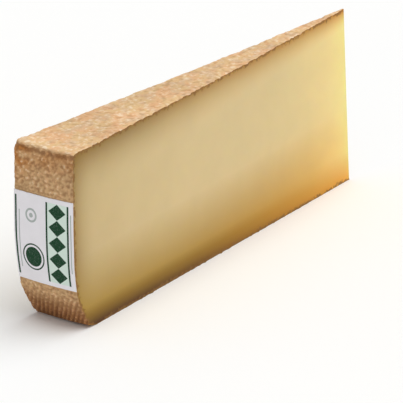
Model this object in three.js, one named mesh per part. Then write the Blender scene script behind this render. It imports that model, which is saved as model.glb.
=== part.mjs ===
// A wedge cut from a wheel of comte cheese, standing on the wheel's lower face, with a paper label
// pressed into the rind of its heel. The rind covers the top, the heel and the foot. The two long
// sides are flat cut faces, which meet at the thin tip.
import * as THREE from "three";

const { clamp, degToRad, lerp, smoothstep } = THREE.MathUtils;

// Driving dimensions, in millimetres and degrees
const WHEEL_RADIUS = 306.1; // from the wheel's centre to the heel, where it is widest
const WHEEL_HEIGHT = 117.5; // from the foot to the top
const WEDGE_ANGLE = 8.79; // between the two cut faces
const TIP_RADIUS = 4; // the tip is this far from the wheel's centre, which leaves it 0.6 mm wide

// The heel bulges: it is widest at one height, and has a small upper and a large lower corner. Its form
// differs between the near cut face, towards -Y, and the far one.
const WIDEST_HEIGHT = { near: 46, far: 58 };
const HEEL_LEAN = 4.2; // how far the heel's upper end is drawn in
const HEEL_LEAN_POWER = 1.4;
const HEEL_TUCK = 8.4; // how far the heel's lower end is drawn in
const HEEL_TUCK_POWER = 2;
const UPPER_CORNER = { near: 1.4, far: 4 }; // the upper corner's radius
const LOWER_CORNER_DEPTH = { near: 4.4, far: 7.8 };
const LOWER_CORNER_HEIGHT = 24;
const LOWER_CORNER_POWER = { near: 1, far: 1.3 }; // 2 would be an ellipse, and 1 is a straight bevel
const FOOT_LIFT = { near: 2.4, far: 0 }; // how far the foot's end at the heel is off the ground
const FOOT_ROLL = 10; // and over what length it comes down
const FOOT_ROLL_POWER = 1.6;
const TOP_FALL = 0.8; // how much lower the top is at the heel than at the tip
const TOP_SAG = { near: 1.2, far: 0.8 }; // how far the top dips between the heel and the tip

// The label covers the heel from one cut face to the other, in a shallow bed pressed into the rind.
const LABEL_BOTTOM = 28;
const LABEL_HEIGHT = 58;
const LABEL_TOP = LABEL_BOTTOM + LABEL_HEIGHT;
const LABEL_THICKNESS = 0.4;
const LABEL_PROUD = 0.2; // how far its face stands out of the rind
const LABEL_GAP = 0.3; // between its back and the bed
const BED_DEPTH = LABEL_THICKNESS - LABEL_PROUD + LABEL_GAP;
const BED_MARGIN = 0.5; // the bed is this much taller than the label at each end
const BED_RAMP = 1.2; // and rises to the rind over this height
const BED_TOP = LABEL_TOP + BED_MARGIN;
const BED_BOTTOM = LABEL_BOTTOM - BED_MARGIN;

// The rind is dry and crusted. Each octave of its relief is the width of its lumps and their height.
const RELIEF = [
  { width: 46, height: 0.7 },
  { width: 15, height: 0.5 },
  { width: 6.2, height: 0.75 },
];
const OCTAVE_SHIFT = 31; // keeps the octaves' lumps from lining up

// The facets
const CELL = 1.7; // the size of those that carry the rind's relief
const UPPER_CORNER_ROWS = 3;
const LOWER_CORNER_ROWS = 12;
const FOOT_ROLL_ROWS = 3;
const FOOT_ROWS = 9;
const FOOT_COLUMNS = 4;
const TIP_ROWS = 12;
const LABEL_ROWS = 14;
const LABEL_COLUMNS = 12;
const FACE_INSETS = [0.13, 0.42]; // how far in each of a cut face's rings lies

const HALF_ANGLE = degToRad(WEDGE_ANGLE / 2);

// n + 1 values from a to b
const steps = (a, b, n) => Array.from({ length: n + 1 }, (_, i) => lerp(a, b, i / n));

// A share says how far across the wedge a point is, from -1 at the near cut face to 1 at the far one.
const across = (pair, share) => lerp(pair.near, pair.far, (share + 1) / 2);

// A fixed random number from 0 to 1 for each corner of a cubic lattice
function latticeValue(ix, iy, iz) {
  let h = Math.imul(ix, 374761393) ^ Math.imul(iy, 668265263) ^ Math.imul(iz, 873357469);
  h = Math.imul(h ^ (h >>> 13), 1274126177);
  h ^= h >>> 16;
  return (h >>> 0) / 2 ** 32;
}

// Smooth noise from -1 to 1, with lumps about one unit wide
function noise(x, y, z) {
  const [ix, iy, iz] = [x, y, z].map(Math.floor);
  const [fx, fy, fz] = [x - ix, y - iy, z - iz].map((f) => smoothstep(f, 0, 1));
  let sum = 0;
  for (let corner = 0; corner < 8; corner++) {
    const [cx, cy, cz] = [corner & 1, (corner >> 1) & 1, corner >> 2];
    const weight = (cx ? fx : 1 - fx) * (cy ? fy : 1 - fy) * (cz ? fz : 1 - fz);
    sum += weight * latticeValue(ix + cx, iy + cy, iz + cz);
  }
  return 2 * sum - 1;
}

// How far the rind stands out of its smooth form at a point
function rindRelief({ x, y, z }) {
  return RELIEF.reduce((sum, { width, height }, octave) => {
    const shift = octave * OCTAVE_SHIFT;
    return sum + (height / 2) * noise(x / width + shift, y / width, z / width);
  }, 0);
}

// The point at a distance from the wheel's axis and a height above the foot, with the heel towards -X
function place(radius, height, share) {
  const angle = share * HALF_ANGLE;
  return new THREE.Vector3(-radius * Math.cos(angle), radius * Math.sin(angle), height);
}

// The heel's distance from the wheel's axis, without its corners
function heelRadius(height, share) {
  const widest = across(WIDEST_HEIGHT, share);
  const above = Math.max(0, height - widest) / (WHEEL_HEIGHT - widest);
  const below = Math.max(0, widest - height) / widest;
  return WHEEL_RADIUS - HEEL_LEAN * above ** HEEL_LEAN_POWER - HEEL_TUCK * below ** HEEL_TUCK_POWER;
}

function topHeight(radius, share) {
  const along = radius / WHEEL_RADIUS;
  return WHEEL_HEIGHT - TOP_FALL * along - across(TOP_SAG, share) * Math.sin(Math.PI * along);
}

// Where the top ends and the upper corner begins
function shoulderRadius(share) {
  const corner = across(UPPER_CORNER, share);
  return heelRadius(WHEEL_HEIGHT - corner, share) - corner;
}

// 1 in the label's bed, and 0 on the open rind
function bedShare(height) {
  const aboveFoot = smoothstep(height, BED_BOTTOM - BED_RAMP, BED_BOTTOM);
  const belowTop = 1 - smoothstep(height, BED_TOP, BED_TOP + BED_RAMP);
  return aboveFoot * belowTop;
}

const rindColumns = (radius) => Math.max(1, Math.round((2 * HALF_ANGLE * radius) / CELL));

// Each row of the rind runs across the wedge. It has a number of columns, and a function that gives the
// radius and height at a share, the way out of the surface there and how much relief it carries.
function topRows() {
  const count = Math.round((WHEEL_RADIUS - TIP_RADIUS) / CELL);
  return steps(0, 1, count).map((part) => ({
    columns: rindColumns(lerp(TIP_RADIUS, WHEEL_RADIUS, part)),
    at: (share) => {
      const radius = lerp(TIP_RADIUS, shoulderRadius(share), part);
      return { radius, height: topHeight(radius, share), out: [0, 1], relief: 1 };
    },
  }));
}

function upperCornerRows() {
  const turns = steps(0, Math.PI / 2, UPPER_CORNER_ROWS).slice(1, -1);
  return turns.map((turn) => ({
    columns: rindColumns(WHEEL_RADIUS),
    at: (share) => {
      const corner = across(UPPER_CORNER, share);
      const shoulder = shoulderRadius(share);
      return {
        radius: shoulder + corner * Math.sin(turn),
        height: topHeight(shoulder, share) - corner * (1 - Math.cos(turn)),
        out: [Math.sin(turn), Math.cos(turn)],
        relief: 1,
      };
    },
  }));
}

// The heel between its corners, in bands that meet at the edges of the label's bed
function heelRows() {
  const heelTop = (share) => topHeight(shoulderRadius(share), share) - across(UPPER_CORNER, share);
  const level = (height) => () => height;
  const bands = [
    { high: heelTop, low: level(BED_TOP + BED_RAMP), rows: Math.round((WHEEL_HEIGHT - BED_TOP) / CELL) },
    { high: level(BED_TOP + BED_RAMP), low: level(BED_TOP), rows: 1 },
    { high: level(BED_TOP), low: level(BED_BOTTOM), rows: LABEL_ROWS },
    { high: level(BED_BOTTOM), low: level(BED_BOTTOM - BED_RAMP), rows: 1 },
    { high: level(BED_BOTTOM - BED_RAMP), low: level(LOWER_CORNER_HEIGHT), rows: 1 },
  ];
  return bands.flatMap(({ high, low, rows }) =>
    steps(0, 1, rows).slice(0, -1).map((part) => ({
      columns: rindColumns(WHEEL_RADIUS),
      at: (share) => {
        const height = lerp(high(share), low(share), part);
        return { radius: heelRadius(height, share), height, out: [1, 0], relief: 1 };
      },
    })),
  );
}

// The lower corner is a quarter of a superellipse, from the heel down to the foot.
function lowerCornerRows() {
  return steps(0, 1, LOWER_CORNER_ROWS).map((part) => ({
    columns: rindColumns(WHEEL_RADIUS),
    at: (share) => {
      const depth = across(LOWER_CORNER_DEPTH, share);
      const power = 2 / across(LOWER_CORNER_POWER, share);
      const turn = (part * Math.PI) / 2;
      const inset = depth * (1 - Math.cos(turn) ** power);
      const height = lerp(LOWER_CORNER_HEIGHT, across(FOOT_LIFT, share), Math.sin(turn) ** power);
      const slope = [Math.cos(turn) / depth, -Math.sin(turn) / LOWER_CORNER_HEIGHT];
      const out = new THREE.Vector2(...slope).normalize().toArray();
      const relief = 1 - smoothstep(part, 0.75, 1);
      return { radius: heelRadius(height, share) - inset, height, out, relief };
    },
  }));
}

// The foot is flat, so that the wedge stands on it, but for a short roll where it meets the heel.
function footRows() {
  const footEnd = (share) => heelRadius(across(FOOT_LIFT, share), share) - across(LOWER_CORNER_DEPTH, share);
  const onFoot = { out: [0, -1], relief: 0 };
  const roll = steps(0, 1, FOOT_ROLL_ROWS).slice(1).map((part) => ({
    columns: rindColumns(WHEEL_RADIUS),
    at: (share) => ({
      radius: footEnd(share) - FOOT_ROLL * part,
      height: across(FOOT_LIFT, share) * (1 - part) ** FOOT_ROLL_POWER,
      ...onFoot,
    }),
  }));
  const flat = steps(footEnd(1) - FOOT_ROLL, TIP_RADIUS, FOOT_ROWS).slice(1).map((radius) => ({
    columns: Math.min(rindColumns(radius), FOOT_COLUMNS),
    at: () => ({ radius, height: 0, ...onFoot }),
  }));
  return [...roll, ...flat];
}

// Collects vertices and triangles
class Surface {
  constructor() {
    this.points = [];
    this.triangles = [];
  }

  add(point) {
    this.points.push(point);
    return this.points.length - 1;
  }

  triangle(a, b, c) {
    if (a !== b && b !== c && c !== a) this.triangles.push(a, b, c);
  }

  // Joins two rows of vertices that run the same way, whatever their counts. Seen from outside, the
  // rows run upwards and the second lies to the right of the first.
  zip(first, second) {
    const lastFirst = first.length - 1;
    const lastSecond = second.length - 1;
    let i = 0;
    let j = 0;
    while (i < lastFirst || j < lastSecond) {
      const firstIsBehind = (i + 1) * lastSecond <= (j + 1) * lastFirst;
      if (j === lastSecond || (i < lastFirst && firstIsBehind)) {
        this.triangle(first[i], second[j], first[i + 1]);
        i++;
      } else {
        this.triangle(first[i], second[j], second[j + 1]);
        j++;
      }
    }
  }

  geometry() {
    const positions = this.points.flatMap((point) => point.toArray());
    return new THREE.BufferGeometry()
      .setAttribute("position", new THREE.Float32BufferAttribute(positions, 3))
      .setIndex(this.triangles);
  }
}

// Adds the rind's vertices, row by row, from the top of the tip, over the heel, to the foot of the tip.
function addRind(surface) {
  const rows = [
    ...topRows(),
    ...upperCornerRows(),
    ...heelRows(),
    ...lowerCornerRows(),
    ...footRows(),
  ];
  return rows.map(({ columns, at }) =>
    steps(-1, 1, columns).map((share) => {
      const { radius, height, out, relief } = at(share);
      const bed = bedShare(height);
      const move = (1 - bed) * relief * rindRelief(place(radius, height, share)) - bed * BED_DEPTH;
      return surface.add(place(radius + out[0] * move, height + out[1] * move, share));
    }),
  );
}

// Fills a cut face inside its closed outline with rings of ever larger facets. The outline starts half
// way up the tip and runs over the top to the heel, which is clockwise as seen from the far side.
function fillCutFace(surface, outline, isFar) {
  const reach = WHEEL_HEIGHT / 2;
  const share = isFar ? 1 : -1;
  const join = (outer, inner) => (isFar ? surface.zip(outer, inner) : surface.zip(inner, outer));
  // What a vertex is drawn towards is the nearest point of the face's middle line.
  const towards = (point) => {
    const radius = Math.hypot(point.x, point.y);
    return place(clamp(radius, TIP_RADIUS + reach / 4, WHEEL_RADIUS - reach), reach, share);
  };
  let ring = outline;
  for (const inset of FACE_INSETS) {
    const kept = outline.filter((_, i) => i % (ring === outline ? 2 : 4) === 0);
    const inner = kept.map((id) => {
      const point = surface.points[id];
      return surface.add(point.clone().lerp(towards(point), inset));
    });
    join([...ring, ring[0]], [...inner, inner[0]]);
    ring = inner;
  }
  const heelEnd = Math.floor(ring.length / 2);
  const upper = ring.slice(0, heelEnd + 1);
  const lower = [ring[0], ...ring.slice(heelEnd).reverse()];
  join(upper, lower);
}

// The closed wedge: the rind, the tip's narrow edge and the two cut faces
function cheeseGeometry() {
  const surface = new Surface();
  const rows = addRind(surface);
  for (let i = 1; i < rows.length; i++) surface.zip(rows[i], rows[i - 1]);

  const tipHeights = steps(0, WHEEL_HEIGHT, TIP_ROWS).slice(1, -1);
  const tipEdge = (share) => tipHeights.map((height) => surface.add(place(TIP_RADIUS, height, share)));
  const sides = [-1, 1].map((share) => ({
    isFar: share > 0,
    rim: rows.map((row) => row.at(share > 0 ? -1 : 0)),
    tip: tipEdge(share),
  }));
  const tipColumn = ({ rim, tip }) => [rim.at(-1), ...tip, rim[0]];
  surface.zip(...sides.map(tipColumn));

  const half = TIP_ROWS / 2;
  for (const { isFar, rim, tip } of sides)
    fillCutFace(surface, [...tip.slice(half), ...rim, ...tip.slice(0, half)], isFar);
  return surface.geometry();
}

// The label: a thin curved band whose ends are flush with the cut faces
function labelGeometry() {
  const surface = new Surface();
  const shares = steps(-1, 1, LABEL_COLUMNS);
  const skin = (offset) =>
    steps(LABEL_TOP, LABEL_BOTTOM, LABEL_ROWS).map((height) =>
      shares.map((share) => surface.add(place(heelRadius(height, share) + offset, height, share))),
    );
  const face = skin(LABEL_PROUD);
  const back = skin(LABEL_PROUD - LABEL_THICKNESS);
  for (let i = 1; i <= LABEL_ROWS; i++) {
    surface.zip(face[i], face[i - 1]);
    surface.zip(back[i - 1], back[i]);
  }
  surface.zip(face[0], back[0]);
  surface.zip(back.at(-1), face.at(-1));
  const column = (rows, index) => rows.map((row) => row.at(index));
  surface.zip(column(back, 0), column(face, 0));
  surface.zip(column(face, -1), column(back, -1));
  return surface.geometry();
}

const cheeseMaterial = new THREE.MeshStandardMaterial({ color: 0xcdb68a, roughness: 0.5, metalness: 0 });
const paperMaterial = new THREE.MeshStandardMaterial({ color: 0xdedbdc, roughness: 0.7, metalness: 0 });

function namedMesh(name, geometry, material) {
  const mesh = new THREE.Mesh(geometry, material);
  mesh.name = name;
  return mesh;
}

const wedge = new THREE.Group();
wedge.add(namedMesh("cheese", cheeseGeometry(), cheeseMaterial));
wedge.add(namedMesh("label", labelGeometry(), paperMaterial));

// The origin is under the middle of the wedge, on the surface that it stands on.
const extent = new THREE.Box3().setFromObject(wedge);
const middle = extent.getCenter(new THREE.Vector3());
wedge.position.set(-middle.x, -middle.y, -extent.min.z);

export default wedge;
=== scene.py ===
"""A wedge of comte cheese: a rough rind on the top, the heel and the foot, two smooth cut faces, and a
printed paper label pressed into the heel. Sizes are in millimetres until a mesh or a material is made,
and the settings are in metres."""

import math
from typing import Callable, NamedTuple

import bmesh
import bpy
import numpy as np
from bpy.props import FloatProperty, FloatVectorProperty, PointerProperty
from mathutils import Matrix, Vector, noise
from mathutils.geometry import delaunay_2d_cdt


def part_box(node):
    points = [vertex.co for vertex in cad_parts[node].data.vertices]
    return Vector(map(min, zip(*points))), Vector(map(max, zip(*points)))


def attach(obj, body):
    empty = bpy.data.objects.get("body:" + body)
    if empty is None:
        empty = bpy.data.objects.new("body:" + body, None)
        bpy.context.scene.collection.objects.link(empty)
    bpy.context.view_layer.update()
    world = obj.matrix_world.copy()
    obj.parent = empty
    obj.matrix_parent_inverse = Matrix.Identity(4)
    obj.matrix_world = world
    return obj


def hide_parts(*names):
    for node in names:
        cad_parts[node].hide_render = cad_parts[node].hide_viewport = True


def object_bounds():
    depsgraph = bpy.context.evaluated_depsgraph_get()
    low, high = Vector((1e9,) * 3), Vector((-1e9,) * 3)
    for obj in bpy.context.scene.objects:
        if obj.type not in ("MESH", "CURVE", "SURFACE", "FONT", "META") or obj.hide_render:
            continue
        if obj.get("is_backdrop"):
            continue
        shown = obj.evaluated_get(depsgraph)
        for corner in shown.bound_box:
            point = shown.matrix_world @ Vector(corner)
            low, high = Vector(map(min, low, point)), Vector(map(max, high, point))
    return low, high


bl_info = {
    "name": "Comte Cheese Wedge",
    "version": (1, 0, 0),
    "blender": (4, 5, 0),
    "location": "3D View > Sidebar > Cheese",
    "description": "Makes a wedge of hard cheese with its rind, its cut faces and a printed label",
    "category": "Add Mesh",
}

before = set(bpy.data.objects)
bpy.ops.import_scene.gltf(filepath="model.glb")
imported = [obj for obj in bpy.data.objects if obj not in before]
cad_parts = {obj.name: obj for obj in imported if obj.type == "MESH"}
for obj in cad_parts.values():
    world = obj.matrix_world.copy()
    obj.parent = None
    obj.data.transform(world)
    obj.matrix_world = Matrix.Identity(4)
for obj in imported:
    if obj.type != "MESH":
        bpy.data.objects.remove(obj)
CAD_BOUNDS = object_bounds()

MM = 0.001

# The wedge, as part of its wheel. The heel is towards -X, and the near cut face towards -Y.
CHEESE_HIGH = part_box("cheese")[1] / MM
LABEL_LOW, LABEL_HIGH = (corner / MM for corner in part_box("label"))
TIP_RADIUS = 4.0  # the tip's distance from the wheel's axis
LABEL_PROUD = 0.2  # how far the label's face stands out of the rind
LABEL_THICKNESS = 0.4
AXIS_X = CHEESE_HIGH.x + TIP_RADIUS
WHEEL_RADIUS = AXIS_X - LABEL_LOW.x - LABEL_PROUD
WHEEL_HEIGHT = 117.5
HALF_ANGLE = math.asin(LABEL_HIGH.y / (WHEEL_RADIUS + LABEL_PROUD))
HEEL_WIDTH = 2 * HALF_ANGLE * WHEEL_RADIUS

# The heel bulges, and has a small upper and a large lower corner. Pairs are for the near and far side.
WIDEST_HEIGHT = (46.0, 58.0)
HEEL_LEAN = 4.2  # how far its upper end is drawn in
HEEL_LEAN_POWER = 1.4
HEEL_TUCK = 8.4  # how far its lower end is drawn in
HEEL_TUCK_POWER = 2.0
UPPER_CORNER = (1.4, 4.0)
LOWER_CORNER_DEPTH = (4.4, 7.8)
LOWER_CORNER_HEIGHT = 24.0
LOWER_CORNER_POWER = (1.0, 1.3)
FOOT_LIFT = (2.4, 0.0)  # how far the foot's end at the heel is off the floor
FOOT_ROLL = 10.0  # and over what length it comes down
FOOT_ROLL_POWER = 1.6
TOP_FALL = 0.8  # how much lower the top is at the heel than at the tip
TOP_SAG = (1.2, 0.8)  # how far the top dips between the heel and the tip

# The bed that the label is pressed into
BED_DEPTH = 0.5
BED_MARGIN = 0.1
BED_RAMP = 0.8
BED_CREST = 0.6  # how much the rind in it looks like the top of a grain, from 0 to 1

# The rind's lumps: the width of each size of them, and its height
LUMPS = ((46, 0.35), (15, 0.25), (6.2, 0.35))

# On the heel the grains are this many times finer, and squatter
HEEL_FINER = 1.35
HEEL_SQUAT = 1.3

# The print of the cloth that the cheese was pressed in
CLOTH_LEAN = 0.64  # how far its ribs lean sideways for each millimetre of height
RUNG_SPACING = 0.6  # the spacing of the rungs between the ribs, as a share of the ribs' own
CLOTH_HEIGHTS = (10.0, 27.0)  # it is deepest up to the first, and shallow from the second

# The row of deep, narrow pits along the heel, just under its upper corner
PIT_DROP = 3.3  # from the top to the middle of the row
PIT_SWAY = 1.4  # how far the row strays up and down
PIT_REACH = 2.6  # half its height
PIT_DEPTH = 1.1

# The ripening smear that is left near the upper corner: none up to the first height, full from the second
SMEAR_HEIGHTS = (96, 113)
FAR_SMEAR_HEIGHTS = (86, 106)  # there is more of it at the far side
WORN_RADII = (289, 295)  # the top's end is worn pale: not up to the first, fully from the second

# The crumbled edge along each cut face, and the crumbs of rind that overhang the face there
CRUMBLE_WIDTH = 2.0
CRUMBLE_DEPTH = 0.9
FAR_CRUMBLE = 0.4  # the far side's share of the nicks
CRUMB_REACH = (0.5, 1.4)  # where the near edge is even, and where it is ragged
FAR_CRUMB_REACH = 0.4
CRUMB_DROP = 0.7  # how far down the face the crumbs go
RAGGED_RADII = (30, 110)  # the near edge is even up to the first, and can be ragged from the second
FACES_APART = 50  # how far apart in the noise the two cut faces lie

# Mesh spacing
RIND_CELL = 0.55
FOOT_CELL = 2.0
FACE_CELL = 1.5
TIP_CELL = 1.0
RIM_DEPTHS = (0.45, 0.9, 1.5)  # rows of vertices just inside a cut face's rim
ROW_CLEARANCE = 0.8  # a row's vertices stay at least this share of its depth from the whole rim
GRID_CLEARANCE = 0.6  # and those further in this share of their spacing from the last row
LABEL_CELL = 0.8
PRINT_CELL = 1.5
LOWER_CORNER_ARC = 1.1  # how much longer the lower corner's curve is than its chord
MERGE_DISTANCE = 1e-4
TINY = 1e-9  # keeps a division from failing on a length of zero

# How far in from the heel's widest line, and down from the top, these two parts of a cut face's rim reach
HEEL_BAND = 30.0
TOP_BAND = 6.0

# What a cut face's triangulation is asked for
TRIANGLES_INSIDE = 1  # only those inside the outline
SAME_POINT = 1e-6  # points this close are one

# The cheese's material slots, and the values at its vertices that its materials use
RIND_SLOT, PASTE_SLOT = 0, 1
VALUE_NAMES = ("rind_turn", "rind_crest", "rind_smear", "rind_depth")
ON_CUT = (0.0, 0.5, 0.0)  # the first three inside a cut face, where nothing uses them

# The ink's face stands out of the paper, and its back is sunk in it. The tint lies under the ink.
INK_PROUD = 0.06
TINT_PROUD = 0.03
INK_SUNK = 0.04

# The label's wear
EDGE_WEAR = 0.35  # how far its upper and lower edges are worn back
COCKLE = 0.1  # how far it stands off the rind in broad waves
CRINKLE = 0.05  # and in narrow ones

# The print's layout: distances along the label from its far edge, and heights above the floor
PRINT_MARGIN = 3.0  # between the green print and the label's upper and lower edges
GREEN_RULES_ALONG = (1.6, 26.6, 43.0)
CHAIN_ALONG = 34.8
CHAIN_INSET = 5.2  # from the rules' ends to the middle of the first and last lozenge
LOZENGES = 5
LOZENGE_HEIGHT = 10.3
TINT_WIDTH = 14.8
DISC_PLACE = (15.2, 45.0)
DISC_RING_REACH = 2.3  # how far the ring's outer edge is from the disc's
DISC_RING_WIDTH = 0.9
DOT_PLACE = (14.2, 72.0)
DOT_RADIUS = 1.5
DOT_RING_RADIUS = 4.6
DOT_RING_WIDTH = 1.3
GREY_RULE_WIDTH = 0.7
GREY_RULES = ((4.4, 8.0, 12.0), (45.3, 12.0, 8.0))  # along, and from the label's lower and upper edges


def srgb(hex_colour):
    """An sRGB hex colour as linear red, green and blue."""
    channels = (((hex_colour >> shift) & 255) / 255 for shift in (16, 8, 0))
    return tuple(c / 12.92 if c <= 0.04045 else ((c + 0.055) / 1.055) ** 2.4 for c in channels)


def size_property(name, description, default):
    """A length that a user may change, given in millimetres."""
    return FloatProperty(
        name=name, description=description, default=default * MM, min=0, precision=5, unit="LENGTH"
    )


def colour_property(name, description, hex_colour):
    """A colour that a user may change."""
    return FloatVectorProperty(
        name=name, description=description, default=srgb(hex_colour), subtype="COLOR", size=3, min=0, max=1
    )


class RindSettings(bpy.types.PropertyGroup):
    """The rind's relief and colours."""

    grain_width: size_property("Grain width", "Distance from one grain of the crust to the next", 3.0)
    grain_height: size_property("Grain height", "Height of a grain over the pits round it", 0.55)
    rib_spacing: size_property("Rib spacing", "Distance between the cloth's ribs on the heel", 3.7)
    rib_depth: size_property("Rib depth", "Depth of the cloth's print at the foot of the heel", 1.35)
    top_colour: colour_property("Top", "The dry, brushed top", 0xD6B48D)
    ochre_colour: colour_property("Ochre", "The yellower patches on the top", 0xE2BD84)
    dust_colour: colour_property("Dust", "Pale dust on the crests of the grains", 0xF5E2C4)
    heel_colour: colour_property("Heel", "The heel, over and under the label", 0xCBA577)
    low_colour: colour_property("Low", "The foot of the heel, and the foot", 0xAC7849)
    pit_colour: colour_property("Pits", "The pits between the grains", 0x7E5230)
    blush_colour: colour_property("Blush", "The orange-pink flecks and patches", 0xE2AE80)
    smear_colour: colour_property("Smear", "What is left of the orange ripening smear", 0xBA7A3C)


class PasteSettings(bpy.types.PropertyGroup):
    """The colours of the cut faces."""

    core_colour: colour_property("Core", "The middle of the wheel's flesh", 0xD9C291)
    rim_colour: colour_property("Rim", "The drier, darker flesh under the rind", 0x89651D)
    top_rim_depth: size_property("Top rim depth", "How deep the darker flesh goes under the top", 39.0)
    tip_rim_depth: size_property("Tip rim depth", "How deep it goes under the top at the tip", 12.5)
    heel_rim_depth: size_property("Heel rim depth", "How deep the darkest flesh goes behind the heel", 24.5)
    # Amber and foot are partly the flesh's own colour and partly painted shade, darker low down where little
    # light reaches.
    amber_and_shade_colour: colour_property("Amber", "The amber flesh over the foot", 0xA8842D)
    amber_and_shade_height: size_property("Amber height", "How high the amber flesh reaches over the foot", 49.0)
    foot_brown_and_shade_colour: colour_property("Foot", "The brown flesh that lies on the foot's rind", 0x4A2414)
    foot_brown_and_shade_height: size_property("Foot height", "How high the brown flesh reaches over the foot", 14.5)
    # Section is partly the cut rind's own brown and partly a painted shadow under the overhanging rind.
    section_and_shadow_colour: colour_property("Section", "The rind where it is cut through", 0x865F2C)
    # Tip and glow are painted light: the light that comes through the thin tip, painted into its colour.
    tip_light_colour: colour_property("Tip", "The thin tip, with light coming through it", 0xFFE896)
    glow_colour: colour_property("Glow", "The foot of the tip, where that light is golden", 0xEA9600)
    glow_height: size_property("Glow height", "How high the golden light reaches over the foot", 57.0)


class LabelSettings(bpy.types.PropertyGroup):
    """The paper label and its plain print."""

    paper_colour: colour_property("Paper", "The uncoated paper", 0xF1EEF2)
    green_colour: colour_property("Green", "The dark ink", 0x0E4024)
    grey_colour: colour_property("Grey", "The grey ink", 0xAEB6B2)
    tint_colour: colour_property("Tint", "The pale green tint behind the blocks", 0xD9EADF)
    rule_width: size_property("Rule width", "Width of the upright rules", 1.3)
    disc_width: size_property("Disc width", "Width of the round mark", 13.0)
    block_width: size_property("Block width", "Width of the blocks between the two rules", 13.2)


class StageSettings(bpy.types.PropertyGroup):
    """The floor, the light and the camera."""

    floor_width: size_property("Floor width", "Width of the square floor", 9000.0)
    floor_colour: colour_property("Floor", "The matt white floor", 0xF9F9F8)
    sky_strength: FloatProperty(
        name="Sky", description="Strength of the light from all round", default=0.55, min=0
    )
    key_strength: FloatProperty(
        name="Key", description="Strength of the broad, soft light overhead", default=1.75, min=0
    )
    key_spread: FloatProperty(
        name="Key spread",
        description="How wide the key light is, as seen from the wedge",
        default=1.1,
        min=0,
        max=math.pi,
        subtype="ANGLE",
    )


# The wheel's form


def lerp(a, b, t):
    return a + (b - a) * t


def clamp(value):
    return min(max(value, 0.0), 1.0)


def smoothstep(value, low, high):
    t = clamp((value - low) / (high - low))
    return t * t * (3 - 2 * t)


def across(pair, share):
    """share runs from -1 at the near cut face to 1 at the far one."""
    return lerp(*pair, (share + 1) / 2)


def place(radius, height, share, aside=0.0):
    """The point at a distance from the wheel's axis. aside moves it out of the wedge past its cut faces."""
    angle = share * HALF_ANGLE
    side = math.copysign(aside, share)
    return Vector((
        AXIS_X - radius * math.cos(angle) + side * math.sin(angle),
        radius * math.sin(angle) + side * math.cos(angle),
        height,
    ))


def heel_radius(height, share):
    widest = across(WIDEST_HEIGHT, share)
    above = max(0.0, height - widest) / (WHEEL_HEIGHT - widest)
    below = max(0.0, widest - height) / widest
    return WHEEL_RADIUS - HEEL_LEAN * above**HEEL_LEAN_POWER - HEEL_TUCK * below**HEEL_TUCK_POWER


def top_height(radius, share):
    along = radius / WHEEL_RADIUS
    return WHEEL_HEIGHT - TOP_FALL * along - across(TOP_SAG, share) * math.sin(math.pi * along)


def shoulder_radius(share):
    """Where the top ends and the upper corner begins."""
    corner = across(UPPER_CORNER, share)
    return heel_radius(WHEEL_HEIGHT - corner, share) - corner


def bed_share(height):
    """1 in the label's bed, and 0 on the open rind."""
    bottom = LABEL_LOW.z - BED_MARGIN
    top = LABEL_HIGH.z + BED_MARGIN
    return smoothstep(height, bottom - BED_RAMP, bottom) * (1 - smoothstep(height, top, top + BED_RAMP))


class Spot(NamedTuple):
    """A place on the rind's smooth form."""

    radius: float
    height: float
    out: tuple  # the way out of the rind, along the radius and up
    turn: float  # 0 on the top, 1 on the heel and 2 on the foot


class Row(NamedTuple):
    """A row of vertices across the wedge. spot gives the place at a share."""

    columns: int
    spot: Callable


def columns_at(radius, cell):
    return max(1, round(2 * HALF_ANGLE * radius / cell))


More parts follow.
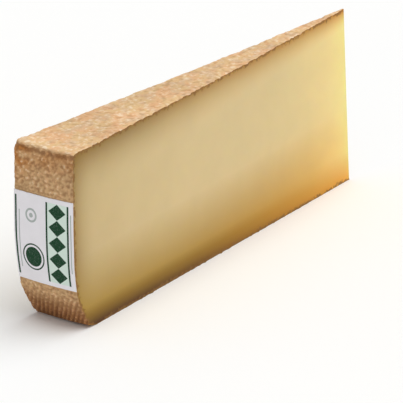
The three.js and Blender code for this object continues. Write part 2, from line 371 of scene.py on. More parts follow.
def rind_rows():
    """From the top of the tip, over the heel, to the foot of the tip."""
    heel_columns = columns_at(WHEEL_RADIUS, RIND_CELL)

    def top(part):
        def spot(share):
            radius = lerp(TIP_RADIUS, shoulder_radius(share), part)
            return Spot(radius, top_height(radius, share), (0, 1), 0)

        return spot

    for part in np.linspace(0, 1, round((WHEEL_RADIUS - TIP_RADIUS) / RIND_CELL)):
        yield Row(columns_at(lerp(TIP_RADIUS, WHEEL_RADIUS, part), RIND_CELL), top(part))

    def upper_corner(angle):
        out = (math.sin(angle), math.cos(angle))

        def spot(share):
            corner = across(UPPER_CORNER, share)
            shoulder = shoulder_radius(share)
            height = top_height(shoulder, share) - corner * (1 - out[1])
            return Spot(shoulder + corner * out[0], height, out, angle / (math.pi / 2))

        return spot

    corner_rows = round(math.pi / 2 * UPPER_CORNER[1] / RIND_CELL)
    for angle in np.linspace(0, math.pi / 2, corner_rows + 1)[1:-1]:
        yield Row(heel_columns, upper_corner(angle))

    def heel(part):
        def spot(share):
            heel_top = top_height(shoulder_radius(share), share) - across(UPPER_CORNER, share)
            height = lerp(heel_top, LOWER_CORNER_HEIGHT, part)
            return Spot(heel_radius(height, share), height, (1, 0), 1)

        return spot

    heel_drop = WHEEL_HEIGHT - UPPER_CORNER[0] - LOWER_CORNER_HEIGHT
    for part in np.linspace(0, 1, round(heel_drop / RIND_CELL))[:-1]:
        yield Row(heel_columns, heel(part))

    def lower_corner(part):
        def spot(share):
            depth = across(LOWER_CORNER_DEPTH, share)
            power = 2 / across(LOWER_CORNER_POWER, share)
            angle = part * math.pi / 2
            height = lerp(LOWER_CORNER_HEIGHT, across(FOOT_LIFT, share), math.sin(angle) ** power)
            radius = heel_radius(height, share) - depth * (1 - math.cos(angle) ** power)
            out = Vector((math.cos(angle) / depth, -math.sin(angle) / LOWER_CORNER_HEIGHT)).normalized()
            return Spot(radius, height, tuple(out), 1 + part)

        return spot

    corner_rows = round(math.hypot(LOWER_CORNER_DEPTH[1], LOWER_CORNER_HEIGHT) * LOWER_CORNER_ARC / RIND_CELL)
    for part in np.linspace(0, 1, corner_rows):
        yield Row(heel_columns, lower_corner(part))

    def foot_end(share):
        return heel_radius(across(FOOT_LIFT, share), share) - across(LOWER_CORNER_DEPTH, share)

    def foot_roll(part):
        return lambda share: Spot(
            foot_end(share) - FOOT_ROLL * part,
            across(FOOT_LIFT, share) * (1 - part) ** FOOT_ROLL_POWER,
            (0, -1),
            2,
        )

    for part in np.linspace(0, 1, round(FOOT_ROLL / RIND_CELL))[1:]:
        yield Row(heel_columns, foot_roll(part))

    flat_end = foot_end(1) - FOOT_ROLL
    for radius in np.linspace(flat_end, TIP_RADIUS, round(flat_end / FOOT_CELL))[1:]:
        yield Row(columns_at(radius, FOOT_CELL), lambda share, radius=radius: Spot(radius, 0, (0, -1), 2))


def noise_at(point, width, seed=0):
    """Smooth noise from about -1 to 1, with lumps of that width."""
    return noise.noise(point / width + Vector((seed, 0, 0)))


class Crust(NamedTuple):
    """The rind's relief at a point."""

    lift: float  # how far it stands out
    crest: float  # 1 on top of a grain, and 0 in a pit
    smear: float  # how much of the ripening smear is left on it, from 0 to 1


def grain_at(rind, point, on_heel):
    """Grains with pits between them and finer grit on them. 1 is on top of a grain, and 0 in a pit."""
    width = rind.grain_width / MM
    squat = Vector((point.x, point.y, point.z * lerp(1, HEEL_SQUAT, on_heel))) * lerp(1, HEEL_FINER, on_heel)
    return clamp(0.5 + 0.85 * noise_at(squat, width, seed=1) + 0.4 * noise_at(squat, 0.45 * width, seed=2))


def cloth_at(rind, point, height, share):
    """The print of the cloth: leaning ribs, with rungs between them, broken here and there."""
    along = share * HALF_ANGLE * WHEEL_RADIUS + CLOTH_LEAN * height + 0.9 * noise_at(point, 12, seed=3)
    rib = 0.5 + 0.5 * math.cos(2 * math.pi * along * MM / rind.rib_spacing)
    rung = 0.5 + 0.5 * math.cos(2 * math.pi * height * MM / (RUNG_SPACING * rind.rib_spacing))
    broken = 0.5 + 0.5 * noise_at(point, 4, seed=4)
    return rib * lerp(0.6, 1, rung) * lerp(0.7, 1, broken)


def pits_at(point, spot):
    """The row of pits under the heel's upper corner."""
    middle = WHEEL_HEIGHT - PIT_DROP + PIT_SWAY * noise_at(point, 9, seed=5)
    pits = max(0.0, 1 - abs(spot.height - middle) / PIT_REACH) * smoothstep(spot.turn, 0.05, 0.5)
    return pits * smoothstep(noise_at(point, 3.2, seed=6), -0.25, 0.15)


def crumble_at(point, radius, share):
    """The nicks in the edge along a cut face."""
    edge = (1 - abs(share)) * HALF_ANGLE * radius
    nick = max(0.0, noise_at(point, 2.4, seed=11)) + 1.3 * max(0.0, noise_at(point, 5.5, seed=12) - 0.1)
    return nick * (1 - smoothstep(edge, 0.1, CRUMBLE_WIDTH)) * (1 if share < 0 else FAR_CRUMBLE)


def smear_at(point, height, share, on_heel):
    """The ripening smear that is left in the upper corner, most of all at the far side."""
    far_side = smoothstep(share, 0.35, 0.9) * smoothstep(height, *FAR_SMEAR_HEIGHTS)
    smear = 0.65 * smoothstep(height, *SMEAR_HEIGHTS) + 1.1 * far_side
    return clamp(smear * (on_heel * (0.7 + 0.9 * noise_at(point, 6, seed=9))))


def rind_crust(rind, point, spot, share):
    """The rind at a point of its smooth form."""
    on_heel = smoothstep(spot.turn, 0.4, 1)
    low = 1 - smoothstep(spot.height, *CLOTH_HEIGHTS)
    lumps = sum(height * noise_at(point, width) for width, height in LUMPS)
    grain = grain_at(rind, point, on_heel)
    patchy = 0.8 + 0.6 * noise_at(point, 9, seed=7)
    grain_height = rind.grain_height / MM * patchy * lerp(0.5, 1, on_heel)

    # The cloth's print is deep low on the heel, shallow above, and fades out at the far edge.
    cloth = cloth_at(rind, point, spot.height, share)
    at_far_edge = smoothstep(share, 0.7, 1)
    cloth_depth = rind.rib_depth / MM * on_heel * lerp(0.2, 1, low) * (1 - 0.8 * at_far_edge)

    pits = pits_at(point, spot)
    crumble = crumble_at(point, spot.radius, share)
    lift = lumps + grain_height * (grain - 0.5) + cloth_depth * (cloth - 0.5)
    lift = lift - PIT_DEPTH * pits - CRUMBLE_DEPTH * crumble
    worn = 0.15 * smoothstep(spot.radius, *WORN_RADII) * (1 - smoothstep(spot.turn, 0.1, 0.6))
    crest = lerp(0.3 + 0.7 * grain, grain, on_heel) + worn - 0.9 * pits
    crest *= lerp(1, cloth, on_heel * lerp(0.3, 0.95, low))
    return Crust(lift, clamp(crest), smear_at(point, spot.height, share, on_heel))


def cut_offset(radius, height, depth, share):
    """How far a cut face stands out of its plane. Under the rim, crumbs of rind overhang it."""
    point = Vector((radius, height, FACES_APART * share))

    # Crumbs of two sizes, which reach further where the edge is ragged
    crumb = 1.2 * noise_at(point, 2.3, seed=21) + 0.9 * noise_at(point, 5.5, seed=24) - 0.05
    ragged = smoothstep(noise_at(point, 24, seed=26), -0.2, 0.4) * smoothstep(radius, *RAGGED_RADII)
    reach = lerp(*CRUMB_REACH, ragged) if share < 0 else FAR_CRUMB_REACH
    overhang = reach * max(0.0, crumb) * (1 - smoothstep(depth, 0, CRUMB_DROP))

    # The flesh is rough close to the rind, and swells slowly further in.
    rough = 0.3 * noise_at(point, 2.2, seed=25) * (1 - smoothstep(depth, 1, 6))
    swell = 0.16 * noise_at(point, 42, seed=22) + 0.05 * noise_at(point, 14, seed=23)
    return overhang + (rough + swell) * smoothstep(depth, 0, 4)


class Skin:
    """Collects the vertices, triangles, material slots and vertex values of one closed mesh."""

    def __init__(self):
        self.points = []
        self.values = []  # what VALUE_NAMES lists, at each vertex
        self.triangles = []
        self.slots = []
        self.slot = RIND_SLOT

    def add(self, point, *values):
        self.points.append(point)
        self.values.append(values)
        return len(self.points) - 1

    def triangle(self, a, b, c):
        if len({a, b, c}) == 3:
            self.triangles.append((a, b, c))
            self.slots.append(self.slot)

    def zip(self, first, second):
        """Joins two rows, which run upwards as seen from outside, with the second on the right."""
        i = j = 0
        last_i, last_j = len(first) - 1, len(second) - 1
        while i < last_i or j < last_j:
            if j == last_j or (i < last_i and (i + 1) * last_j <= (j + 1) * last_i):
                self.triangle(first[i], second[j], first[i + 1])
                i += 1
            else:
                self.triangle(first[i], second[j], second[j + 1])
                j += 1

    def make_object(self, name, value_names=()):
        mesh = bpy.data.meshes.new(name)
        mesh.from_pydata([point * MM for point in self.points], [], self.triangles)
        mesh.polygons.foreach_set("material_index", self.slots)
        for index, value_name in enumerate(value_names):
            attribute = mesh.attributes.new(value_name, "FLOAT", "POINT")
            attribute.data.foreach_set("value", [values[index] for values in self.values])
        shade_smooth_between_slots(mesh)
        return link_object(name, mesh)


def shade_smooth_between_slots(mesh):
    """Shades a mesh smooth, with sharp edges where two materials meet."""
    shape = bmesh.new()
    shape.from_mesh(mesh)
    for face in shape.faces:
        face.smooth = True
    for edge in shape.edges:
        edge.smooth = len({face.material_index for face in edge.link_faces}) == 1
    shape.to_mesh(mesh)
    shape.free()


def link_object(name, data):
    piece = bpy.data.objects.new(name, data)
    bpy.context.scene.collection.objects.link(piece)
    return piece


def finish_piece(piece, slot, *materials, replaces=None):
    """Gives a piece its materials, hangs it under the root body, and hides any part it replaces."""
    for material in materials:
        piece.data.materials.append(material)
    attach(piece, "root")
    if replaces:
        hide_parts(replaces)
    return piece


def add_rind(skin, rind):
    """Adds the rind's vertices row by row, and gives their numbers in rows."""
    rows = []
    for row in rind_rows():
        ids = []
        for share in np.linspace(-1, 1, row.columns + 1):
            spot = row.spot(share)
            crust = rind_crust(rind, place(spot.radius, spot.height, share), spot, share)
            bed = bed_share(spot.height)
            flat = smoothstep(spot.turn, 1.8, 2)  # the relief ends where the foot begins
            move = (1 - bed) * (1 - flat) * crust.lift - bed * BED_DEPTH
            radius = spot.radius + spot.out[0] * move
            height = max(0.0, spot.height + spot.out[1] * move)
            aside = cut_offset(radius, height, 0, share) if abs(share) == 1 else 0.0
            values = (spot.turn, lerp(crust.crest, BED_CREST, bed), crust.smear, 0.0)
            ids.append(skin.add(place(radius, height, share, aside), *values))
        rows.append(ids)
    return rows


def flat_place(point, share):
    """The radius and height of a point on a cut face."""
    angle = share * HALF_ANGLE
    return (AXIS_X - point.x) * math.cos(angle) + point.y * math.sin(angle), point.z


def inner_points(rim):
    """Points that fill a cut face inside its rim: rows along it, and an even grid further in."""
    rim = np.array(rim)
    centre = np.array((WHEEL_RADIUS / 2, WHEEL_HEIGHT / 2))
    step = np.roll(rim, -1, 0) - np.roll(rim, 1, 0)
    inward = np.stack((step[:, 1], -step[:, 0]), 1)
    inward /= np.linalg.norm(inward, axis=1, keepdims=True) + TINY
    inward *= np.sign(((centre - rim) * inward).sum(1).mean())

    # Each row of points, with how far from the rim its points have to be
    candidates = [(rim + inward * depth, ROW_CLEARANCE * depth) for depth in RIM_DEPTHS]
    row_height = FACE_CELL * math.sqrt(3) / 2
    radii = np.arange(TIP_RADIUS, WHEEL_RADIUS, FACE_CELL)
    for index, height in enumerate(np.arange(row_height, WHEEL_HEIGHT, row_height)):
        shifted = radii + (index % 2) * FACE_CELL / 2
        row = np.stack((shifted, np.full_like(shifted, height)), 1)
        candidates.append((row, RIM_DEPTHS[-1] + GRID_CLEARANCE * FACE_CELL))

    # The points that are kept lie inside the rim, and far enough from it.
    heel = rim[rim[:, 0] > WHEEL_RADIUS - HEEL_BAND]
    heel = heel[np.argsort(heel[:, 1])]
    top = rim[rim[:, 1] > WHEEL_HEIGHT - TOP_BAND]
    top = top[np.argsort(top[:, 0])]
    kept = []
    for points, clearance in candidates:
        inside = points[:, 0] < np.interp(points[:, 1], heel[:, 1], heel[:, 0])
        inside &= points[:, 1] < np.interp(points[:, 0], top[:, 0], top[:, 1])
        inside &= (points[:, 0] > TIP_RADIUS) & (points[:, 1] > 0)
        points = points[inside]
        distance = np.linalg.norm(points[:, None] - rim[None], axis=2).min(1)
        kept.append(points[distance >= clearance])
    return np.concatenate(kept)


def runs_left(a, b, c):
    """Whether three points in a plane run anticlockwise."""
    return (b[0] - a[0]) * (c[1] - a[1]) > (b[1] - a[1]) * (c[0] - a[0])


def fill_cut_face(skin, rim_ids, tip_ids, share):
    """Fills a cut face between the rind's rim and the tip's edge, which together run round it."""
    outline = list(reversed(rim_ids + tip_ids))
    flat = [flat_place(skin.points[i], share) for i in outline]
    rind_rim = np.array([flat_place(skin.points[i], share) for i in rim_ids])
    inner = inner_points(flat)
    depths = np.linalg.norm(inner[:, None] - rind_rim[None], axis=2).min(1)
    ids = list(outline)
    for (radius, height), depth in zip(inner, depths):
        aside = cut_offset(radius, height, depth, share)
        ids.append(skin.add(place(radius, height, share, aside), *ON_CUT, depth))
    flat += [tuple(point) for point in inner]
    loop = list(range(len(outline)))
    points = [Vector(point) for point in flat]
    result = delaunay_2d_cdt(points, [], [loop], TRIANGLES_INSIDE, SAME_POINT, True)
    _, _, faces, origins, _, _ = result
    if not all(origins):
        raise RuntimeError("a cut face's rim crosses itself")
    for face in faces:
        corners = [origins[i][0] for i in face]
        if max(corners) < len(outline) and not runs_left(*(flat[i] for i in sorted(corners))):
            continue  # it fills a hollow of the outline from outside
        a, b, c = (ids[i] for i in corners)
        skin.triangle(*((a, b, c) if share > 0 else (a, c, b)))


def tip_edge(skin, share):
    """The vertices up one side of the tip's narrow edge, without its ends."""
    heights = np.linspace(0, WHEEL_HEIGHT, round(WHEEL_HEIGHT / TIP_CELL))[1:-1]
    depths = np.minimum(heights, WHEEL_HEIGHT - heights)
    return [skin.add(place(TIP_RADIUS, h, share), *ON_CUT, depth) for h, depth in zip(heights, depths)]


def cheese_skin(rind):
    skin = Skin()
    rows = add_rind(skin, rind)
    for upper, lower in zip(rows, rows[1:]):
        skin.zip(lower, upper)

    skin.slot = PASTE_SLOT
    near_tip, far_tip = (tip_edge(skin, share) for share in (-1, 1))
    near_rim, far_rim = ([row[i] for row in rows] for i in (0, -1))
    skin.zip([near_rim[-1], *near_tip, near_rim[0]], [far_rim[-1], *far_tip, far_rim[0]])
    fill_cut_face(skin, near_rim, near_tip, -1)
    fill_cut_face(skin, far_rim, far_tip, 1)
    return skin


# Materials


def add_node(tree, kind, inputs=None, output=0, **settings):
    """Adds a node with its settings, sets or links its inputs, and returns one of its outputs."""
    node = tree.nodes.new(kind)
    for name, value in settings.items():
        setattr(node, name, value)
    for socket, value in (inputs or {}).items():
        if isinstance(value, bpy.types.NodeSocket):
            tree.links.new(value, node.inputs[socket])
        else:
            node.inputs[socket].default_value = value
    return node.outputs[output] if node.outputs else None


def new_material(name):
    """A material, its empty node tree, and the place on the piece that its patterns start from."""
    material = bpy.data.materials.new(name)
    material.use_nodes = True
    tree = material.node_tree
    tree.nodes.clear()
    return material, tree, add_node(tree, "ShaderNodeTexCoord", output="Object")


def finish_material(material, tree, inputs):
    """Gives a material its surface."""
    surface = add_node(tree, "ShaderNodeBsdfPrincipled", inputs)
    add_node(tree, "ShaderNodeOutputMaterial", {"Surface": surface})
    return material


def rgba(colour):
    return (*colour, 1.0)


def patches(tree, here, width, detail, edge, share):
    """A pattern of soft patches, that many millimetres wide. Where its noise goes from one value of edge
    to the other, the pattern goes from one value of share to the other."""
    inputs = {"Vector": here, "Scale": 1 / (width * MM), "Detail": detail}
    inputs = {"Value": add_node(tree, "ShaderNodeTexNoise", inputs)}
    inputs.update(zip(("From Min", "From Max", "To Min", "To Max"), edge + share))
    return add_node(tree, "ShaderNodeMapRange", inputs)


def vary_tone(tree, here, colour, **pattern):
    """Multiplies a colour by a pattern of soft patches."""
    inputs = {"Factor": 1.0, "A": colour, "B": patches(tree, here, **pattern)}
    return add_node(tree, "ShaderNodeMix", inputs, "Result", data_type="RGBA", blend_type="MULTIPLY")


def fine_bumps(tree, here, width, detail, strength, height):
    """A normal for bumps too fine for the mesh, with their width and height in millimetres."""
    inputs = {"Vector": here, "Scale": 1 / (width * MM), "Detail": detail}
    inputs = {"Height": add_node(tree, "ShaderNodeTexNoise", inputs), "Strength": strength}
    return add_node(tree, "ShaderNodeBump", {**inputs, "Distance": height * MM})


def rind_material(rind):
    """The crust of a hard cheese that was washed with brine and brushed for months: dry, matt and grainy,
    with pale dust on its grains and a darker, stickier smear in its pits. It scatters light so widely
    that it shows no gloss."""
    material, tree, here = new_material("Brine-washed, brushed cheese rind")
    height = add_node(tree, "ShaderNodeSeparateXYZ", {"Vector": here}, "Z")
    turn, crest, smear = (
        add_node(tree, "ShaderNodeAttribute", output="Fac", attribute_name=name)
        for name in ("rind_turn", "rind_crest", "rind_smear")
    )

    # Patches and flecks of colour, from 12 mm to 2.4 mm wide
    blushed_patches = patches(tree, here, width=12, detail=3.0, edge=(0.48, 0.62), share=(0.0, 0.7))
    blushed_flecks = patches(tree, here, width=3.2, detail=1.0, edge=(0.5, 0.68), share=(0.0, 0.45))
    pale_flecks = patches(tree, here, width=2.4, detail=1.0, edge=(0.45, 0.62), share=(0.0, 0.7))
    ochre_patches = patches(tree, here, width=9, detail=1.0, edge=(0.45, 0.6), share=(0.6, 0.0))

    on_heel = add_node(tree, "ShaderNodeMapRange", {"Value": turn, "From Min": 0.15, "From Max": 0.75})
    low = add_node(tree, "ShaderNodeMapRange", {"Value": height, "From Min": 22 * MM, "From Max": 8 * MM})
    crested = add_node(tree, "ShaderNodeMapRange", {"Value": crest, "From Min": 0.5, "From Max": 1.0})
    dust = add_node(tree, "ShaderNodeMath", {0: crested, 1: pale_flecks}, operation="MULTIPLY")
    pit_share = add_node(tree, "ShaderNodeMapRange", {"Value": low, "To Min": 0.6, "To Max": 0.8})
    pit = add_node(
        tree, "ShaderNodeMapRange", {"Value": crest, "From Min": 0.55, "From Max": 0.0, "To Max": pit_share}
    )

    colour = rgba(rind.top_colour)
    layers = (
        (ochre_patches, rind.ochre_colour),
        (blushed_patches, rind.blush_colour),
        (on_heel, rind.heel_colour),
        (low, rind.low_colour),
        (blushed_flecks, rind.blush_colour),
        (smear, rind.smear_colour),
        (dust, rind.dust_colour),
        (pit, rind.pit_colour),
    )
    for share, layer_colour in layers:
        inputs = {"Factor": share, "A": colour, "B": rgba(layer_colour)}
        colour = add_node(tree, "ShaderNodeMix", inputs, "Result", data_type="RGBA")

    # Slow changes of tone, about 40 mm wide
    colour = vary_tone(tree, here, colour, width=40, detail=1.0, edge=(0.35, 0.65), share=(0.9, 1.06))

    # Salt and mould grains. Most are too fine for the render as well as for the mesh, so they are drawn
    # 0.5 mm wide.
    bump = fine_bumps(tree, here, width=0.5, detail=2.0, strength=0.6, height=0.2)
    inputs = {"Base Color": colour, "Roughness": 0.85, "Specular IOR Level": 0.25, "Normal": bump}
    return finish_material(material, tree, inputs)


def paste_material(paste):
    """The flesh of a hard cooked cheese, cut by a wire: a dense, slightly fatty solid. Light goes a few
    millimetres into it, so it looks soft and waxy. The glow of its thin tip is painted light. It is darker
    and more amber towards the rind, partly its own colour and partly painted shade low down and towards the
    heel."""
    material, tree, here = new_material("Hard cooked cheese flesh, wire-cut")
    along = add_node(tree, "ShaderNodeSeparateXYZ", {"Vector": here}, "X")
    height = along.node.outputs["Z"]
    depth = add_node(tree, "ShaderNodeAttribute", output="Fac", attribute_name="rind_depth")
    heel_x = (AXIS_X - WHEEL_RADIUS) * MM
    tip = add_node(tree, "ShaderNodeMapRange", {"Value": along, "From Min": heel_x, "From Max": AXIS_X * MM})

    # The flesh darkens slowly towards the heel, partly its own colour and partly painted shade, and fast
    # close behind it.
    inputs = {"Value": tip, "From Min": 0.6, "From Max": 0.0, "To Max": 0.5}
    ageing_and_shade = add_node(tree, "ShaderNodeMapRange", inputs)
    ageing_and_shade = add_node(tree, "ShaderNodeMath", {0: ageing_and_shade, 1: 2.0}, operation="POWER")
    inputs = {"Value": along, "From Min": heel_x + paste.heel_rim_depth, "From Max": heel_x, "To Max": 0.94}
    heel_rim = add_node(tree, "ShaderNodeMapRange", inputs)
    heel_rim = add_node(tree, "ShaderNodeMath", {0: heel_rim, 1: 2.0}, operation="POWER")

    # Amber, foot and sole darken the flesh low down: partly its own colour over the foot's rind, partly
    # painted shade and a painted shadow along the foot. Glow and shine are painted light.
    # What changes with the height: where it begins, where it is full, and its share there
    by_height = (
        (paste.amber_and_shade_height, 8 * MM, 1.0),
        (paste.foot_brown_and_shade_height, 0.0, 0.95),
        (5 * MM, 0.0, 0.35),
        (paste.glow_height, 0.0, 1.0),
        (-5 * MM, 20 * MM, 0.85),
    )
    amber, foot, sole_brown_and_shadow, glow, shine = (
        add_node(
            tree, "ShaderNodeMapRange", {"Value": height, "From Min": start, "From Max": full, "To Max": most}
        )
        for start, full, most in by_height
    )

    # The brown over the foot, partly the flesh's own and partly painted shade, ends towards the tip.
    not_tip = add_node(tree, "ShaderNodeMath", {0: tip, 1: 2.0}, operation="POWER")
    not_tip = add_node(tree, "ShaderNodeMath", {0: 1.0, 1: not_tip}, operation="SUBTRACT")
    foot = add_node(tree, "ShaderNodeMath", {0: foot, 1: not_tip}, operation="MULTIPLY")

    # The tip is thin, so light comes through it. That light is painted into the colour: pale above, and
    # golden at its foot.
    glow_along = add_node(tree, "ShaderNodeMath", {0: tip, 1: 3.1}, operation="POWER")
    glow = add_node(tree, "ShaderNodeMath", {0: glow, 1: glow_along}, operation="MULTIPLY")
    shine_along = add_node(tree, "ShaderNodeMath", {0: tip, 1: 6.2}, operation="POWER")
    shine = add_node(tree, "ShaderNodeMath", {0: shine, 1: shine_along}, operation="MULTIPLY")

    # Under the top the dark rim gets thinner towards the tip, and more golden with painted light coming
    # through the thin tip.
    inputs = {"Value": tip, "To Min": paste.top_rim_depth, "To Max": paste.tip_rim_depth}
    rim_depth = add_node(tree, "ShaderNodeMapRange", inputs)
    below_top = add_node(tree, "ShaderNodeMath", {0: WHEEL_HEIGHT * MM, 1: height}, operation="SUBTRACT")
    top_rim = add_node(tree, "ShaderNodeMath", {0: below_top, 1: rim_depth}, operation="DIVIDE")
    top_rim = add_node(tree, "ShaderNodeMath", {0: 1.0, 1: top_rim}, operation="SUBTRACT", use_clamp=True)
    gilt_tip_light = add_node(tree, "ShaderNodeMapRange", {"Value": tip, "From Min": 0.2, "To Max": 0.42})
    gilt_tip_light = add_node(tree, "ShaderNodeMath", {0: top_rim, 1: gilt_tip_light}, operation="MULTIPLY")
    top_rim = add_node(tree, "ShaderNodeMath", {0: top_rim, 1: 2.2}, operation="POWER")

    # The cut rind, about 1.2 mm thick, with unevenness 2.5 mm wide: partly its own brown, and partly a
    # painted shadow under the overhanging crumbs
    uneven = patches(tree, here, width=2.5, detail=2.0, edge=(0.3, 0.7), share=(-1.6, 1.2))
    uneven = add_node(tree, "ShaderNodeMath", {0: depth, 1: uneven}, operation="ADD")
    inputs = {"Value": uneven, "From Min": 1.8, "From Max": 0.5, "To Max": 0.85}
    section_and_shadow = add_node(tree, "ShaderNodeMapRange", inputs)

    colour = rgba(paste.core_colour)
    zones = (
        (ageing_and_shade, paste.rim_colour),
        (heel_rim, paste.rim_colour),
        (amber, paste.amber_and_shade_colour),
        (foot, paste.foot_brown_and_shade_colour),
        (sole_brown_and_shadow, paste.foot_brown_and_shade_colour),
        (glow, paste.glow_colour),
        (shine, paste.tip_light_colour),
        (top_rim, paste.rim_colour),
        (gilt_tip_light, paste.glow_colour),
        (section_and_shadow, paste.section_and_shadow_colour),
    )
    for share, zone_colour in zones:
        inputs = {"Factor": share, "A": colour, "B": rgba(zone_colour)}
        colour = add_node(tree, "ShaderNodeMix", inputs, "Result", data_type="RGBA")

    # Soft mottling, about 20 mm wide
    colour = vary_tone(tree, here, colour, width=20, detail=3.0, edge=(0.3, 0.7), share=(0.975, 1.02))

    # The wire leaves a fine drag, about 0.8 mm wide.
    bump = fine_bumps(tree, here, width=0.8, detail=2.0, strength=0.25, height=0.1)
    inputs = {
        "Base Color": colour,
        "Roughness": 0.5,
        "IOR": 1.45,
        "Specular IOR Level": 0.2,
        "Subsurface Weight": 0.5,
        "Subsurface Radius": (1.0, 0.55, 0.2),
        "Subsurface Scale": 6 * MM,
        "Normal": bump,
    }
    return finish_material(material, tree, inputs)


def paper_material(label):
    """Uncoated label paper, calendered smooth: matt, with faint fibres and a little of the damp of the
    rind behind it."""
    material, tree, here = new_material("Uncoated label paper, calendered")

    # Damp patches about 9 mm wide
    colour = rgba(label.paper_colour)
    colour = vary_tone(tree, here, colour, width=9, detail=4.0, edge=(0.3, 0.7), share=(0.95, 1.0))

    # Single fibres are too fine to show, so they are drawn as flocks 0.6 mm wide.
    bump = fine_bumps(tree, here, width=0.6, detail=3.0, strength=0.2, height=0.05)
    inputs = {"Base Color": colour, "Roughness": 0.75, "Normal": bump}
    return finish_material(material, tree, inputs)


def ink_material(name, ink_colour, paper_colour):
    """Flexographic ink on uncoated paper: matt, and a little thin where the fibres took less of it."""
    material, tree, here = new_material(name)

    # Thin spots, about as wide as the flocks of fibre
    thin = patches(tree, here, width=0.7, detail=2.0, edge=(0.52, 0.8), share=(0.0, 0.12))
    inputs = {"Factor": thin, "A": rgba(ink_colour), "B": rgba(paper_colour)}
    colour = add_node(tree, "ShaderNodeMix", inputs, "Result", data_type="RGBA")
    inputs = {"Base Color": colour, "Roughness": 0.7, "Specular IOR Level": 0.2}
    return finish_material(material, tree, inputs)


def floor_material(stage):
    """Matt white emulsion on a smooth board: no gloss and hardly any pattern."""
    material, tree, here = new_material("Matt white emulsion on board")

    # Faint clouds, about 400 mm wide
    colour = rgba(stage.floor_colour)
    colour = vary_tone(tree, here, colour, width=400, detail=2.0, edge=(0.3, 0.7), share=(0.99, 1.0))
    inputs = {"Base Color": colour, "Roughness": 0.9}
    return finish_material(material, tree, inputs)


# The label


def label_point(along, height, offset):
    """A point of the label: along runs from the far edge to the near one, and offset is out of its face."""
    share = 1 - 2 * along / HEEL_WIDTH
    face = Vector((along, height, 0))
    cockle = COCKLE * noise_at(face, 11, seed=31) + CRINKLE * noise_at(face, 4, seed=32)
    return place(heel_radius(height, share) + LABEL_PROUD + cockle + offset, height, share)


def label_skin():
    """The paper: a thin closed sheet with slightly worn upper and lower edges."""
    skin = Skin()
    columns = round(HEEL_WIDTH / LABEL_CELL)
    rows = round((LABEL_HIGH.z - LABEL_LOW.z) / LABEL_CELL)

    def sheet(offset):
        ids = []
        for part in np.linspace(0, 1, rows + 1):
            row = []
            for along in np.linspace(HEEL_WIDTH, 0, columns + 1):
                worn = EDGE_WEAR * abs(noise_at(Vector((along, round(part), 0)), 3.0, seed=33))
                height = lerp(LABEL_HIGH.z - worn, LABEL_LOW.z + worn, part)
                row.append(skin.add(label_point(along, height, offset)))
            ids.append(row)
        return ids

    face = sheet(0.0)
    back = sheet(-LABEL_THICKNESS)
    for i in range(rows):
        skin.zip(face[i + 1], face[i])
        skin.zip(back[i], back[i + 1])
    skin.zip(face[0], back[0])
    skin.zip(back[-1], face[-1])
    skin.zip([row[0] for row in back], [row[0] for row in face])
    skin.zip([row[-1] for row in face], [row[-1] for row in back])
    return skin


def bar(along, low, high, width):
    """An upright bar's outline on the label."""
    left, right = along - width / 2, along + width / 2
    return [(left, low), (right, low), (right, high), (left, high)]


def lozenge(along, height, width, tall):
    """A lozenge's outline on the label."""
    return [
        (along - width / 2, height),
        (along, height - tall / 2),
        (along + width / 2, height),
        (along, height + tall / 2),
    ]


def circle(along, height, radius, sides=40):
    angles = np.linspace(0, 2 * math.pi, sides, endpoint=False)
    return [(along + radius * math.cos(a), height + radius * math.sin(a)) for a in angles]


def ring(along, height, radius, thickness):
    """The outlines of a ring's pieces, which share their sides."""
    outer = circle(along, height, radius)
    inner = circle(along, height, radius - thickness)
    return [[inner[i - 1], outer[i - 1], outer[i], inner[i]] for i in range(len(outer))]


def print_object(name, outlines, proud=INK_PROUD):
    """Flat ink shapes, cut small enough to follow the label, made solid, and bent round the heel."""
    shape = bmesh.new()
    for outline in outlines:
        shape.faces.new([shape.verts.new((along, height, 0)) for along, height in outline])
    bmesh.ops.remove_doubles(shape, verts=shape.verts, dist=MERGE_DISTANCE)
    for axis, low, high in ((0, 0, HEEL_WIDTH), (1, LABEL_LOW.z, LABEL_HIGH.z)):
        normal = Vector((axis == 0, axis == 1, 0))
        for cut in np.arange(low + PRINT_CELL, high, PRINT_CELL):
            geometry = shape.verts[:] + shape.edges[:] + shape.faces[:]
            bmesh.ops.bisect_plane(
                shape, geom=geometry, dist=MERGE_DISTANCE, plane_co=normal * cut, plane_no=normal
            )
    bmesh.ops.triangulate(shape, faces=shape.faces)
    raised = bmesh.ops.extrude_face_region(shape, geom=shape.faces, use_keep_orig=True)["geom"]
    raised = {part for part in raised if isinstance(part, bmesh.types.BMVert)}
    for vert in shape.verts:
        offset = proud if vert in raised else -INK_SUNK
        vert.co = label_point(vert.co.x, vert.co.y, offset) * MM
    bmesh.ops.recalc_face_normals(shape, faces=shape.faces)
    mesh = bpy.data.meshes.new(name)
    shape.to_mesh(mesh)
    shape.free()
    return link_object(name, mesh)


def green_outlines(label):
    """Rules, a chain of lozenges between two of them, and a disc inside a thin ring."""
    low, high = LABEL_LOW.z + PRINT_MARGIN, LABEL_HIGH.z - PRINT_MARGIN
    for along in GREEN_RULES_ALONG:
        yield bar(along, low, high, label.rule_width / MM)
    for height in np.linspace(low + CHAIN_INSET, high - CHAIN_INSET, LOZENGES):
        yield lozenge(CHAIN_ALONG, height, label.block_width / MM, LOZENGE_HEIGHT)
    radius = label.disc_width / MM / 2
    yield circle(*DISC_PLACE, radius)
    yield from ring(*DISC_PLACE, radius + DISC_RING_REACH, DISC_RING_WIDTH)


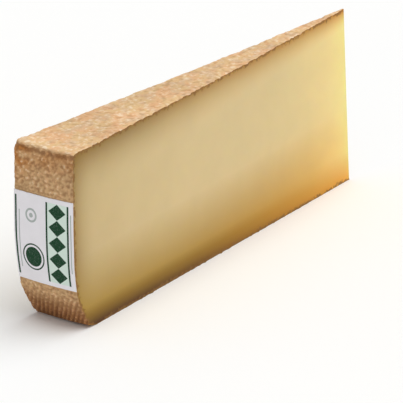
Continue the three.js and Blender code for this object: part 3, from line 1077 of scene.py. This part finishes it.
def grey_outlines():
    """A small ring with a dot in it, and two thin rules."""
    yield circle(*DOT_PLACE, DOT_RADIUS)
    yield from ring(*DOT_PLACE, DOT_RING_RADIUS, DOT_RING_WIDTH)
    for along, from_bottom, from_top in GREY_RULES:
        yield bar(along, LABEL_LOW.z + from_bottom, LABEL_HIGH.z - from_top, GREY_RULE_WIDTH)


def tint_outlines():
    """A band behind the chain of lozenges."""
    yield bar(CHAIN_ALONG, LABEL_LOW.z + PRINT_MARGIN, LABEL_HIGH.z - PRINT_MARGIN, TINT_WIDTH)


# The stage

KEY_FROM = Vector((0.25, -0.35, 1.0))  # the way to the light overhead

# The camera looks past the heel along the near cut face, from far off.
CAMERA_AZIMUTH = math.radians(-50.12)
CAMERA_ELEVATION = math.radians(21.24)
CAMERA_ROLL = math.radians(-2.33)
CAMERA_DISTANCE = 3934.0
CAMERA_AIM = (154.0, 59.0)  # the aim's distance from the wheel's axis, and its height
CAMERA_ASIDE = (1.18, -23.7)  # how far the picture's middle lies right of and above the aim
SENSOR_WIDTH = 36.0
PICTURE_WIDTH = 403
FOCAL_PIXELS = 6264


def add_floor(stage):
    half = stage.floor_width / 2
    corners = [(-half, -half, 0), (half, -half, 0), (half, half, 0), (-half, half, 0)]
    mesh = bpy.data.meshes.new("floor")
    mesh.from_pydata(corners, [], [(0, 1, 2, 3)])
    floor = link_object("floor", mesh)
    floor.data.materials.append(floor_material(stage))
    floor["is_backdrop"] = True


def light_scene(scene, stage):
    world = bpy.data.worlds.new("soft_white_studio")
    world.use_nodes = True
    sky = world.node_tree.nodes["Background"]
    sky.inputs["Strength"].default_value = stage.sky_strength
    sky.inputs["Color"].default_value = (1, 1, 1, 1)
    scene.world = world

    light = bpy.data.lights.new("overhead_key", "SUN")
    light.energy = stage.key_strength
    light.angle = stage.key_spread
    lamp = link_object("overhead_key", light)
    lamp.rotation_euler = KEY_FROM.to_track_quat("Z", "Y").to_euler()
    scene.view_settings.view_transform = "Standard"


def add_camera(scene):
    a, e = CAMERA_AZIMUTH, CAMERA_ELEVATION
    back = Vector((math.sin(a) * math.cos(e), -math.cos(a) * math.cos(e), math.sin(e)))
    level = Vector((math.cos(a), math.sin(a), 0))
    upright = back.cross(level)
    c, s = math.cos(CAMERA_ROLL), math.sin(CAMERA_ROLL)
    right = level * c + upright * s
    up = upright * c - level * s
    aim = Vector((AXIS_X - CAMERA_AIM[0], 0, CAMERA_AIM[1]))
    spot = aim + back * CAMERA_DISTANCE + right * CAMERA_ASIDE[0] + up * CAMERA_ASIDE[1]

    camera = bpy.data.cameras.new("camera")
    camera.sensor_width = SENSOR_WIDTH
    camera.lens = SENSOR_WIDTH * FOCAL_PIXELS / PICTURE_WIDTH
    seen_from = link_object("camera", camera)
    seen_from.matrix_world = Matrix.Translation(spot * MM) @ Matrix((right, up, back)).transposed().to_4x4()
    scene.camera = seen_from


# The add-on


class COMTE_OT_wedge(bpy.types.Operator):
    """Makes the cheese, with its rind and its cut faces"""

    bl_idname = "comte.wedge"
    bl_label = "Cheese"

    def execute(self, context):
        rind, paste = context.scene.comte_rind, context.scene.comte_paste
        piece = cheese_skin(rind).make_object("cheese_wedge", VALUE_NAMES)
        finish_piece(piece, "cheese", rind_material(rind), paste_material(paste), replaces="cheese")
        return {"FINISHED"}


class COMTE_OT_label(bpy.types.Operator):
    """Makes the paper label"""

    bl_idname = "comte.label"
    bl_label = "Label"

    def execute(self, context):
        label = context.scene.comte_label
        piece = label_skin().make_object("label_paper")
        finish_piece(piece, "label", paper_material(label), replaces="label")
        return {"FINISHED"}


class COMTE_OT_print(bpy.types.Operator):
    """Makes the print on the label"""

    bl_idname = "comte.print"
    bl_label = "Print"

    def execute(self, context):
        label = context.scene.comte_label
        green = ink_material("Dark green flexographic ink", label.green_colour, label.paper_colour)
        grey = ink_material("Grey flexographic ink", label.grey_colour, label.paper_colour)
        tint = ink_material("Pale green flexographic ink", label.tint_colour, label.paper_colour)
        finish_piece(print_object("label_tint_print", tint_outlines(), TINT_PROUD), "label", tint)
        finish_piece(print_object("label_green_print", green_outlines(label)), "label", green)
        finish_piece(print_object("label_grey_print", grey_outlines()), "label", grey)
        return {"FINISHED"}


class COMTE_OT_stage(bpy.types.Operator):
    """Makes the floor, the light and the camera"""

    bl_idname = "comte.stage"
    bl_label = "Stage"

    def execute(self, context):
        stage = context.scene.comte_stage
        add_floor(stage)
        light_scene(context.scene, stage)
        add_camera(context.scene)
        return {"FINISHED"}


class COMTE_PT_panel(bpy.types.Panel):
    """Lists the wedge's pieces and settings"""

    bl_label = "Comte wedge"
    bl_idname = "COMTE_PT_panel"
    bl_space_type = "VIEW_3D"
    bl_region_type = "UI"
    bl_category = "Cheese"

    def draw(self, context):
        for operator in OPERATORS:
            self.layout.operator(operator.bl_idname)
        for group in SETTINGS:
            settings = getattr(context.scene, group)
            box = self.layout.box()
            for name in settings.__annotations__:
                box.prop(settings, name)


OPERATORS = (COMTE_OT_wedge, COMTE_OT_label, COMTE_OT_print, COMTE_OT_stage)
SETTINGS = {
    "comte_rind": RindSettings,
    "comte_paste": PasteSettings,
    "comte_label": LabelSettings,
    "comte_stage": StageSettings,
}


def register():
    for kind in (*SETTINGS.values(), *OPERATORS, COMTE_PT_panel):
        bpy.utils.register_class(kind)
    for name, kind in SETTINGS.items():
        setattr(bpy.types.Scene, name, PointerProperty(type=kind))


def unregister():
    for name in SETTINGS:
        delattr(bpy.types.Scene, name)
    for kind in (*SETTINGS.values(), *OPERATORS, COMTE_PT_panel):
        bpy.utils.unregister_class(kind)


def main():
    register()
    bpy.ops.comte.wedge()
    bpy.ops.comte.label()
    bpy.ops.comte.print()
    bpy.ops.comte.stage()
    boxes = {"cad": CAD_BOUNDS, "visual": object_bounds()}
    sizes = {name: [list(corner) for corner in box] for name, box in boxes.items()}


if __name__ == "__main__":
    main()
